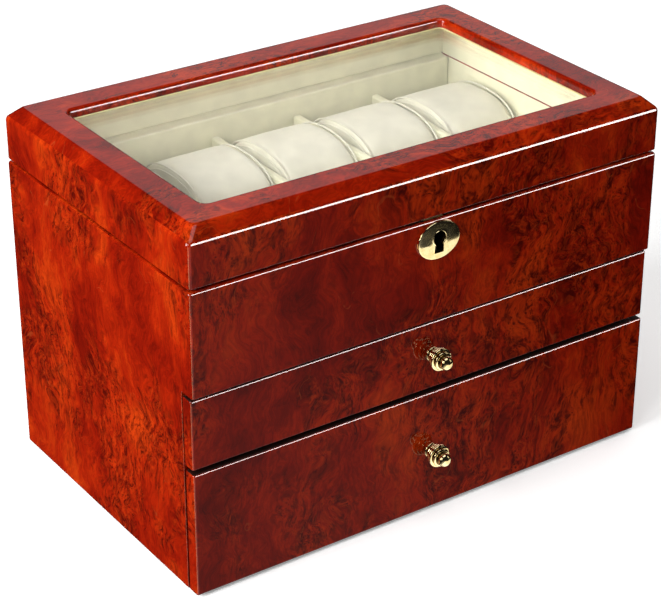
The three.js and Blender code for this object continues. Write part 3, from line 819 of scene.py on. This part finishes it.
def knob(prefix):
    """Turned brass knob: flange, short neck, a stack of rings with grooves painted dark as shade, and a domed
    tip.
    """
    lo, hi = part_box(f"{prefix}_knob")
    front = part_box(f"{prefix}_front")[0].y
    # (radius, distance from the drawer front), in millimetres
    profile = [(0, -1.0), (3.0, -1.0), (4.4, 0.0), (4.6, 0.3), (4.6, 0.8), (4.3, 1.1),
               (3.6, 1.3), (3.3, 1.6), (3.3, 2.0), (4.0, 2.1), (4.7, 2.3), (4.95, 2.8),
               (4.95, 3.4), (4.7, 3.9), (4.2, 4.0), (4.1, 4.6), (5.0, 4.7), (5.7, 4.9),
               (6.0, 5.3), (6.0, 6.0), (5.7, 6.4), (5.1, 6.5), (5.0, 7.1), (6.2, 7.2),
               (6.9, 7.4), (7.25, 7.8), (7.3, 8.4), (7.15, 9.0), (6.7, 9.3), (5.4, 9.4),
               (5.0, 9.5), (5.0, 10.0), (5.5, 10.1), (5.8, 10.4), (5.8, 10.9), (5.5, 11.3),
               (4.6, 11.5), (3.3, 11.6), (3.2, 12.1), (3.7, 12.5), (4.15, 13.2), (4.3, 14.0),
               (4.15, 14.9), (3.6, 15.8), (2.7, 16.45), (1.4, 16.9), (0, 17.0)]
    grooves = [(1.2, 2.15), (3.95, 4.75), (6.45, 7.2), (9.35, 10.1), (11.5, 12.2)]
    turned = lathe(f"{prefix}_turned_knob", [(r * MM, h * MM) for r, h in profile], 56)
    place(turned, prefix, "polished_brass", gold, (f"{prefix}_knob",))
    # Faces inside the grooves take the near-black brass: painted shade.
    turned.data.materials.append(groove_shade_brass)
    for face in turned.data.polygons:
        height = face.center.z / MM
        face.material_index = int(any(low < height < high for low, high in grooves))
    turn = Matrix.Rotation(math.pi / 2, 4, "X")
    shift = Matrix.Translation((0, front, (lo.z + hi.z) / 2))
    turned.data.transform(shift @ turn)
    return soften(turned, 50)


def drawer(prefix):
    lo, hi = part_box(f"{prefix}_front")
    front = block(f"{prefix}_veneered_front", lo, hi, 1.4 * MM, 6)
    veneer(front)
    front.data.materials.append(painted_gap_shade)
    # Top, bottom and back faces take the painted gap shade, so the gaps round the drawer look dark.
    for face in front.data.polygons:
        if abs(face.normal.z) > 0.75 or face.normal.y > 0.75:
            face.material_index = 3
    place(front, prefix, "burl_lacquer", replaces=(f"{prefix}_front",))
    soften(front, 50)

    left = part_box(f"{prefix}_side_left")
    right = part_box(f"{prefix}_side_right")
    x0, x1 = left[0].x, right[1].x
    y0, y1 = left[0].y, left[1].y
    z0, z1 = left[0].z, left[1].z
    wall = left[1].x - left[0].x
    floor_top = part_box(f"{prefix}_bottom")[1].z
    lip = 0.8 * MM
    rings = [ring(x0, x1, y0, y1, lip, z0), ring(x0, x1, y0, y1, lip, z1 - lip)]
    for grow in (0.3, 1.0):
        rings.append(ring(x0 + lip * grow, x1 - lip * grow, y0 + lip * grow, y1 - lip * grow, lip,
                          z1 - lip * (1 - grow)))
    inside = (x0 + wall, x1 - wall, y0 + wall, y1 - wall)
    for grow in (1.0, 0.3, 0.0):
        rings.append(ring(inside[0] - lip * grow, inside[1] + lip * grow, inside[2] - lip * grow,
                          inside[3] + lip * grow, lip, z1 - lip * (1 - grow)))
    rings.append(ring(*inside, lip, floor_top))
    box = loft(f"{prefix}_box", rings)
    place(box, prefix, "drawer_wood", inner_wood,
          (f"{prefix}_side_left", f"{prefix}_side_right", f"{prefix}_back", f"{prefix}_bottom"))
    soften(box, 40)
    drawer_lining(prefix, inside, floor_top, z1)
    knob(prefix)


def drawer_lining(prefix, inside, floor_top, z1):
    """Suede-lined walls and a soft pad on the drawer's bottom."""
    x0, x1, y0, y1 = inside
    thick = 1.0 * MM
    top = z1 - 3 * MM
    rings = [ring(x0, x1, y0, y1, 0.8 * MM, floor_top), ring(x0, x1, y0, y1, 0.8 * MM, top - 0.4 * MM),
             ring(x0 + 0.3 * MM, x1 - 0.3 * MM, y0 + 0.3 * MM, y1 - 0.3 * MM, 0.9 * MM, top),
             ring(x0 + thick, x1 - thick, y0 + thick, y1 - thick, 1.6 * MM, top - 0.3 * MM),
             ring(x0 + thick, x1 - thick, y0 + thick, y1 - thick, 1.6 * MM, floor_top)]
    walls = loft(f"{prefix}_wall_lining", rings, closed=True)
    place(walls, prefix, "drawer_lining", drawer_cloth)
    soften(walls, 50)
    pad_lo, pad_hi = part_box(f"{prefix}_pad")
    edge = 1.2 * MM
    low = pad_lo.z
    rows = []
    for inset, z in ((0.0, low), (0.0, low + 1.0 * MM), (0.35 * edge, pad_hi.z - 0.3 * MM), (edge, pad_hi.z)):
        rows.append(ring(x0 + thick + inset, x1 - thick - inset, y0 + thick + inset, y1 - thick - inset,
                         2.0 * MM, z))
    pad = loft(f"{prefix}_soft_pad", rows)
    place(pad, prefix, "drawer_lining", drawer_cloth, (f"{prefix}_pad",))
    soften(pad, 50)


# ---------------------------------------------------------------- hardware and carcass kept from CAD

def keep(node, material, width):
    obj = frame["nodes"][node]
    obj.data.materials.clear()
    obj.data.materials.append(material)
    bevel_edges(obj, width, 2, 40)


def barrel(name, radius, x0, x1, bore=0.0, steps=36):
    """A smooth cylinder on the hinge axis with eased ends, solid or bored through."""
    ease = 0.2 * MM
    section = [(radius - ease, x0), (radius, x0 + ease), (radius, x1 - ease), (radius - ease, x1)]
    if bore:
        section += [(bore, x1), (bore, x0)]
    angles = [TURN * k / steps for k in range(steps)]
    rings = [[Vector((x, HINGE_AXIS.y + r * math.cos(a), HINGE_AXIS.z + r * math.sin(a))) for a in angles]
             for r, x in section]
    return loft(name, rings, closed=bool(bore))


def screw(x, y, z, up):
    """A flat screw head with a slot, just proud of the hinge leaf."""
    proud = 0.10 * MM
    head = lathe("screw", [(0, -0.3 * MM), (1.7 * MM, -0.3 * MM), (1.7 * MM, 0.6 * proud), (1.5 * MM, proud),
                           (0, proud)], 28)
    head.data.materials.append(satin)
    slot = block("slot", (-1.4 * MM, -0.18 * MM, 0), (1.4 * MM, 0.18 * MM, proud + 0.01 * MM))
    # The slot is painted near-black as shade.
    slot.data.materials.append(shade_black_steel)
    turn = Matrix.Rotation(0 if up > 0 else math.pi, 4, "X") @ Matrix.Rotation(35 * x * 10, 4, "Z")
    for piece in (head, slot):
        piece.data.transform(Matrix.Translation((x, y, z)) @ turn)
    return [head, slot]


def hinge(side):
    """A butt hinge: two leaves with screws, three knuckles and the pin."""
    knuckle_room = 2.9 * MM
    flat_back = HINGE_AXIS.y - knuckle_room
    case_lo, case_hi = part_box(f"case_hinge_leaf_{side}")
    start = case_lo.x
    step = (case_hi.x - case_lo.x) / 3
    for body, up, own in (("case", -1, (0, 2)), ("lid", 1, (1,))):
        node = f"{body}_hinge_leaf_{side}"
        lo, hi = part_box(node)
        face = HINGE_AXIS.z + up * 0.2 * MM
        near, far = sorted((face, HINGE_AXIS.z + up * 1.8 * MM))
        parts = [block("leaf", (lo.x, lo.y, near), (hi.x, flat_back, far), 0.12 * MM, 2)]
        for number in own:
            x0 = start + number * step + (0.15 * MM if number else 0)
            x1 = start + (number + 1) * step - (0.15 * MM if number < 2 else 0)
            parts.append(block("tab", (x0, flat_back - MM, near), (x1, HINGE_AXIS.y - 1.5 * MM, far)))
            parts.append(barrel("knuckle", 2.6 * MM, x0, x1, 1.3 * MM))
        for part in parts:
            part.data.materials.append(satin)
        for share in (0.17, 0.5, 0.83):
            parts += screw(lo.x + share * (hi.x - lo.x), (lo.y + flat_back) / 2, face, -up)
        leaf = join(f"{body}_hinge_{side}", parts)
        place(leaf, body, "satin_brass", replaces=(node,))
        soften(leaf, 40)
    pin_lo, pin_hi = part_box(f"hinge_pin_{side}")
    pin = barrel(f"hinge_pin_round_{side}", (pin_hi.z - pin_lo.z) / 2, pin_lo.x, pin_hi.x)
    place(pin, "case", "satin_brass", satin, (f"hinge_pin_{side}",))
    soften(pin, 40)


def carcass():
    keep("bottom_panel", inner_wood, 0.4 * MM)
    # The drawer shelf is painted black-brown as shade in the gap between the drawers.
    keep("drawer_shelf", painted_gap_shade, 0.4 * MM)
    keep("base_felt", dark_felt, 0.2 * MM)
    # The lock case under the lid gap is painted near-black as shade.
    keep("lock_case", shade_black_steel, 0.2 * MM)
    for node in ("lock_bolt", "strike_plate"):
        keep(node, satin, 0.2 * MM)


# ---------------------------------------------------------------- stage, camera and lights

def floor_plane():
    size = 12.0
    under = -0.2 * MM
    corners = [(-size, -size, under), (size, -size, under), (size, size, under), (-size, size, under)]
    floor = from_data("floor", corners, [(0, 1, 2, 3)])
    g = Graph("pale_floor")
    tone = g.noise(g.coords(), 3.0, 2.0, 0.5).outputs[0]
    colour = g.mix(g.remap(tone, 0.3, 0.7), (0.93, 0.93, 0.93, 1), (0.96, 0.96, 0.96, 1))
    floor.data.materials.append(g.principled(Base_Color=colour, Roughness=0.9, Specular_IOR_Level=0.0,
                                             Emission_Color=colour, Emission_Strength=0.25))
    floor.visible_glossy = False
    floor.visible_diffuse = False


def camera():
    """The viewing angle: 34 degrees left of the front and 28 degrees above."""
    data = bpy.data.cameras.new("camera")
    data.lens, data.sensor_width = 116.75, 36
    data.clip_start, data.clip_end = 0.05, 50
    obj = bpy.data.objects.new("camera", data)
    bpy.context.collection.objects.link(obj)
    obj.location = (-0.6706, -0.9773, 0.7223)
    forward = Vector((0.5000, 0.7308, -0.4647))
    obj.rotation_euler = forward.to_track_quat("-Z", "Y").to_euler()
    bpy.context.scene.camera = obj


def softbox(name, direction, distance, size, radiance, tint=(1, 1, 1), diffuse=True, glossy=True,
            receivers=None):
    """An area light facing the box from a direction, given by how bright its face is."""
    data = bpy.data.lights.new(name, "AREA")
    data.shape = "RECTANGLE"
    data.size, data.size_y = size
    data.energy = radiance * math.pi * size[0] * size[1]
    data.color = tint
    obj = bpy.data.objects.new(name, data)
    bpy.context.collection.objects.link(obj)
    obj.location = Vector((0, 0, 0.12)) + Vector(direction).normalized() * distance
    obj.rotation_euler = (-Vector(direction)).to_track_quat("-Z", "Y").to_euler()
    obj.visible_diffuse = diffuse
    obj.visible_glossy = glossy
    obj.visible_camera = False
    if receivers:
        obj.light_linking.receiver_collection = receivers
    return obj


def light_group(name, pieces, state):
    """A light-linking group that includes or excludes some pieces."""
    group = bpy.data.collections.new(name)
    for piece in pieces:
        group.objects.link(piece)
    for member in group.collection_objects:
        member.light_linking.link_state = state
    return group


def lights():
    """Strong lamps for the lacquer, and gentler ones for the lining and for the polished brass."""
    pieces = [obj for obj in bpy.data.objects if obj.type == "MESH" and obj.data.materials]
    shiny = [obj for obj in pieces if obj.data.materials[0] == gold]
    pale = [obj for obj in pieces if obj.data.materials[0] in (cream, pillow_cream, bead_cream)]
    rest = light_group("all_but_polished_brass", shiny, "EXCLUDE")
    dark = light_group("all_but_brass_and_lining", shiny + pale, "EXCLUDE")
    brass = light_group("polished_brass", shiny, "INCLUDE")
    inside = light_group("lining_and_pillows", pale, "INCLUDE")
    pale_tint, warm_tint = (1.0, 0.98, 0.87), (1.0, 0.72, 0.40)
    softbox("key_left", (-0.95, 0.02, 0.42), 1.9, (1.1, 1.0), 15.0, receivers=dark)
    softbox("key_inside", (-0.95, 0.02, 0.42), 1.9, (1.1, 1.0), 8.9, receivers=inside)
    softbox("overhead", (0.0, -0.28, 1.0), 1.7, (1.2, 1.0), 1.6)
    softbox("corner", (-0.665, -0.435, 0.506), 1.6, (0.22, 0.22), 26.0, receivers=rest)
    softbox("front_strip", (0.5, -0.84, 0.14), 1.8, (1.3, 0.75), 28.0, (1.0, 0.91, 0.89), False,
            receivers=rest)
    softbox("back_card", (0.5, 0.73, 0.465), 2.2, (1.5, 1.1), 0.50, diffuse=False)
    softbox("low_card", (-0.73, -0.5, -0.465), 1.8, (0.5, 0.9), 5.0, warm_tint, False, receivers=rest)
    softbox("far_side", (0.9, 0.35, 0.45), 2.1, (1.2, 0.9), 2.2, glossy=False)
    softbox("brass_table", (0.36, -0.50, -0.79), 1.0, (1.6, 1.1), 1.2, pale_tint, False, receivers=brass)
    softbox("brass_warm", (0.10, -0.87, -0.40), 1.3, (0.5, 0.30), 0.40, warm_tint, False, receivers=brass)
    softbox("brass_left", (-0.80, -0.35, 0.45), 1.6, (0.9, 0.9), 1.25, pale_tint, False, receivers=brass)
    softbox("brass_right", (0.75, -0.62, 0.25), 1.6, (0.35, 0.9), 1.1, pale_tint, False, receivers=brass)


def studio_world():
    """Soft fill for matt surfaces. Polished ones mirror a dark room over a bright table."""
    world = bpy.data.worlds.new("studio")
    bpy.context.scene.world = world
    g = Graph("studio", world)
    look = g.node("TexCoord").outputs["Generated"]
    near = g.node("VectorMath", {0: look, 1: (-0.20, -0.85, -1.0)}, operation="DOT_PRODUCT").outputs["Value"]
    under = g.node("SeparateXYZ", {0: look}).outputs["Z"]
    haze = g.remap(near, 0.90, 1.06, 0.012, 0.19)
    edge = g.remap(near, 1.08, 1.28, 0.0, 0.75)
    below = g.remap(under, -0.72, -0.88, 0.0, 0.80)
    bright = g.math("MAXIMUM", haze, g.math("MAXIMUM", edge, below))
    mirror = g.node("Background", {0: (1.0, 0.97, 0.95, 1), 1: bright}).outputs[0]
    fill = g.node("Background", {0: (1.0, 0.99, 0.97, 1), 1: 0.40}).outputs[0]
    seen = g.node("LightPath").outputs["Is Glossy Ray"]
    mixed = g.node("MixShader", {0: seen, 1: fill, 2: mirror}).outputs[0]
    g.tree.links.new(mixed, g.output.inputs[0])
    bpy.context.scene.view_settings.view_transform = "Standard"


case_shell()
escutcheon()
lock_inside()
compartment()
pillows()
lid_frame()
lid_inside()
for prefix in ("upper_drawer", "lower_drawer"):
    drawer(prefix)
for side in ("left", "right"):
    hinge(side)
carcass()
floor_plane()
camera()
lights()
studio_world()
